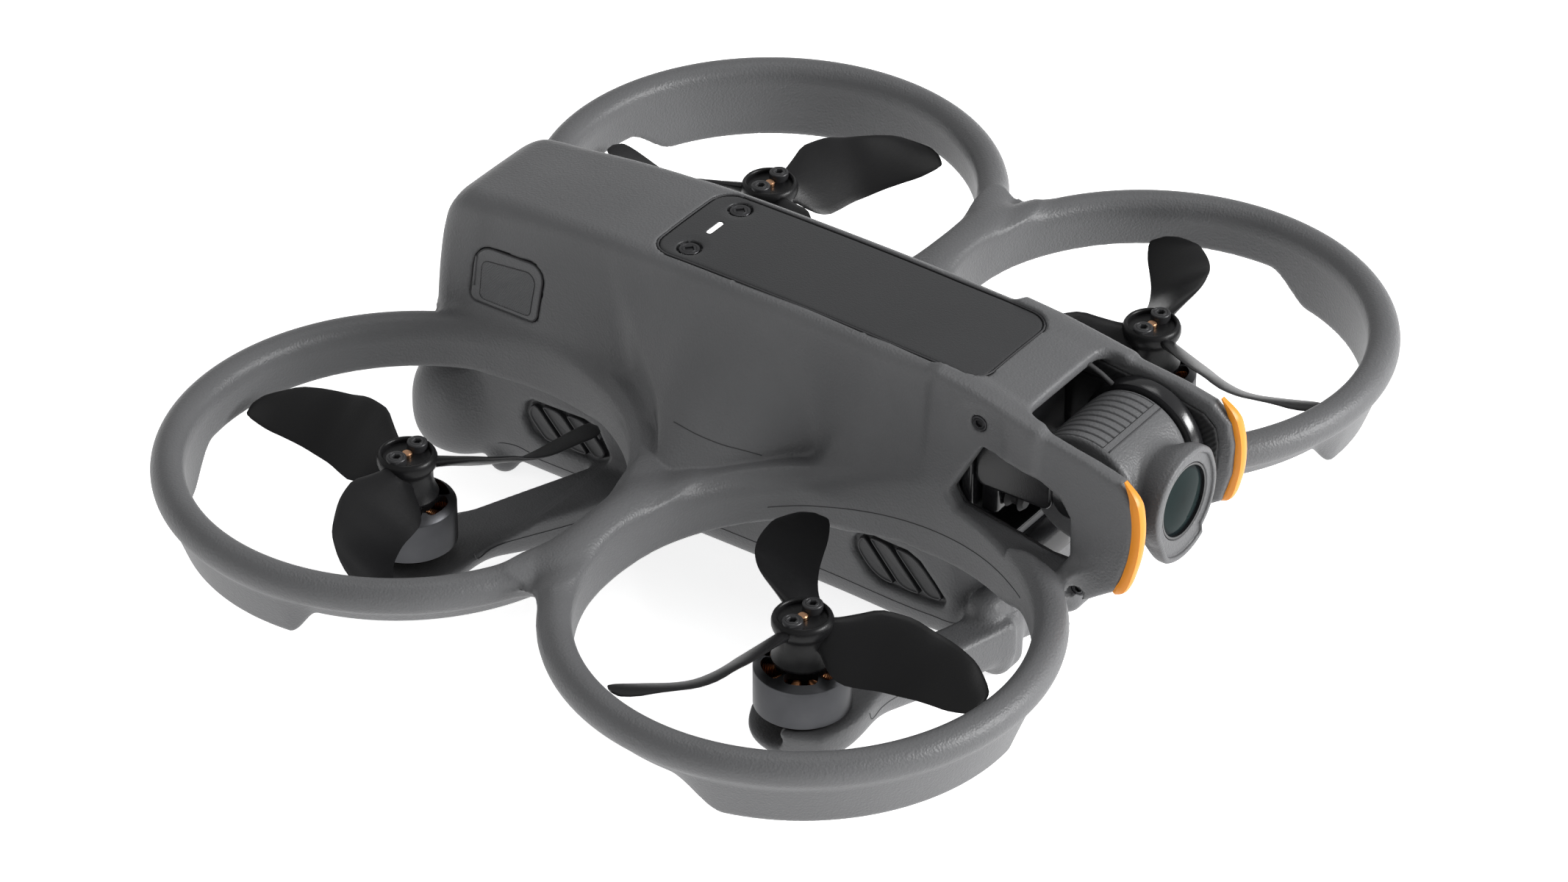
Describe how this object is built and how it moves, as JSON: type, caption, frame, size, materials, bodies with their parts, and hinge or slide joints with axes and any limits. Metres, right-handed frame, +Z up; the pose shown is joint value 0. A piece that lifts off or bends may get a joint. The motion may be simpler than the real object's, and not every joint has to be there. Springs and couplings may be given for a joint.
{
  "type": "fpv racing drone",
  "caption": "Compact ducted racing drone: grey hull with ring guards round its propellers, tilting nose camera, slide-in battery and lower motor arms.",
  "frame": {"origin": "on the ground, under the middle of the four propellers", "axes": "+Z up, nose towards -Y, the drone's left side towards +X"},
  "size_m": [0.212, 0.1848, 0.064],
  "materials": {
    "shell": "fine leathery grain",
    "charcoal": "satin",
    "black": "satin",
    "orange": "satin",
    "screw": "black oxide",
    "light": "diffuser",
    "lens": "polished",
    "board": "solder mask",
    "propeller": "satin",
    "gunmetal": "anodised",
    "winding": "enamelled copper wire"
  },
  "bodies": {
    "airframe": {"bumper_strip_left": "orange", "bumper_strip_right": "orange", "duct_front_left": "shell", "duct_front_right": "shell", "duct_rear_left": "shell", "duct_rear_right": "shell", "gimbal_bracket": "black", "gimbal_motor": "black", "gimbal_pivot": "black", "guard_screw_lower_left": "screw", "guard_screw_lower_right": "screw", "guard_screw_upper_left": "screw", "guard_screw_upper_right": "screw", "hull_shell": "shell", "lower_pod": "shell", "main_board": "board", "motor_arm_front_left": "shell", "motor_arm_front_right": "shell", "motor_arm_rear_left": "shell", "motor_arm_rear_right": "shell", "plate_screw_left": "screw", "plate_screw_right": "screw", "rear_lobe_left": "shell", "rear_lobe_right": "shell", "side_guard_left": "shell", "side_guard_right": "shell", "stator_front_left": "winding", "stator_front_right": "winding", "stator_rear_left": "winding", "stator_rear_right": "winding", "status_light": "light", "top_plate": "charcoal", "vent_grille_front_left": "black", "vent_grille_front_right": "black", "vent_grille_rear_left": "black", "vent_grille_rear_right": "black"},
    "rotor_rear_right": {"motor_bell_rear_right": "gunmetal", "propeller_rear_right": "propeller", "prop_screw_left_rear_right": "screw", "prop_screw_right_rear_right": "screw"},
    "rotor_front_right": {"motor_bell_front_right": "gunmetal", "propeller_front_right": "propeller", "prop_screw_left_front_right": "screw", "prop_screw_right_front_right": "screw"},
    "rotor_rear_left": {"motor_bell_rear_left": "gunmetal", "propeller_rear_left": "propeller", "prop_screw_left_rear_left": "screw", "prop_screw_right_rear_left": "screw"},
    "rotor_front_left": {"motor_bell_front_left": "gunmetal", "propeller_front_left": "propeller", "prop_screw_left_front_left": "screw", "prop_screw_right_front_left": "screw"},
    "camera": {"camera_body": "shell", "lens_hood": "shell", "lens_glass": "lens"},
    "battery": {"battery": "shell"},
    "power_button": {"power_button": "charcoal"},
    "release_pad_right": {"release_pad_right": "charcoal"},
    "release_pad_left": {"release_pad_left": "charcoal"}
  },
  "joints": [
    {"name": "rotor_spin_rear_right", "type": "hinge", "parent": "airframe", "child": "rotor_rear_right", "pos_m": [-0.05843, 0.04482, 0.03], "axis": [0, 0, 1], "continuous": true},
    {"name": "rotor_spin_front_right", "type": "hinge", "parent": "airframe", "child": "rotor_front_right", "pos_m": [-0.05843, -0.04482, 0.03], "axis": [0, 0, 1], "continuous": true},
    {"name": "rotor_spin_rear_left", "type": "hinge", "parent": "airframe", "child": "rotor_rear_left", "pos_m": [0.05843, 0.04482, 0.03], "axis": [0, 0, 1], "continuous": true},
    {"name": "rotor_spin_front_left", "type": "hinge", "parent": "airframe", "child": "rotor_front_left", "pos_m": [0.05843, -0.04482, 0.03], "axis": [0, 0, 1], "continuous": true},
    {"name": "camera_tilt", "type": "hinge", "parent": "airframe", "child": "camera", "pos_m": [0, -0.072, 0.044], "axis": [1, 0, 0], "range_deg": [-68, 90]},
    {"name": "battery_slide", "type": "slide", "parent": "airframe", "child": "battery", "axis": [0, 1, 0], "range_m": [0, 0.095]},
    {"name": "power_button_press", "type": "slide", "parent": "battery", "child": "power_button", "axis": [0, -1, 0], "range_m": [0, 0.0004], "stiffness_N_per_m": 800},
    {"name": "release_pad_press_right", "type": "slide", "parent": "airframe", "child": "release_pad_right", "axis": [1, 0, 0], "range_m": [0, 0.0012], "stiffness_N_per_m": 800},
    {"name": "release_pad_press_left", "type": "slide", "parent": "airframe", "child": "release_pad_left", "axis": [-1, 0, 0], "range_m": [0, 0.0012], "stiffness_N_per_m": 800}
  ]
}
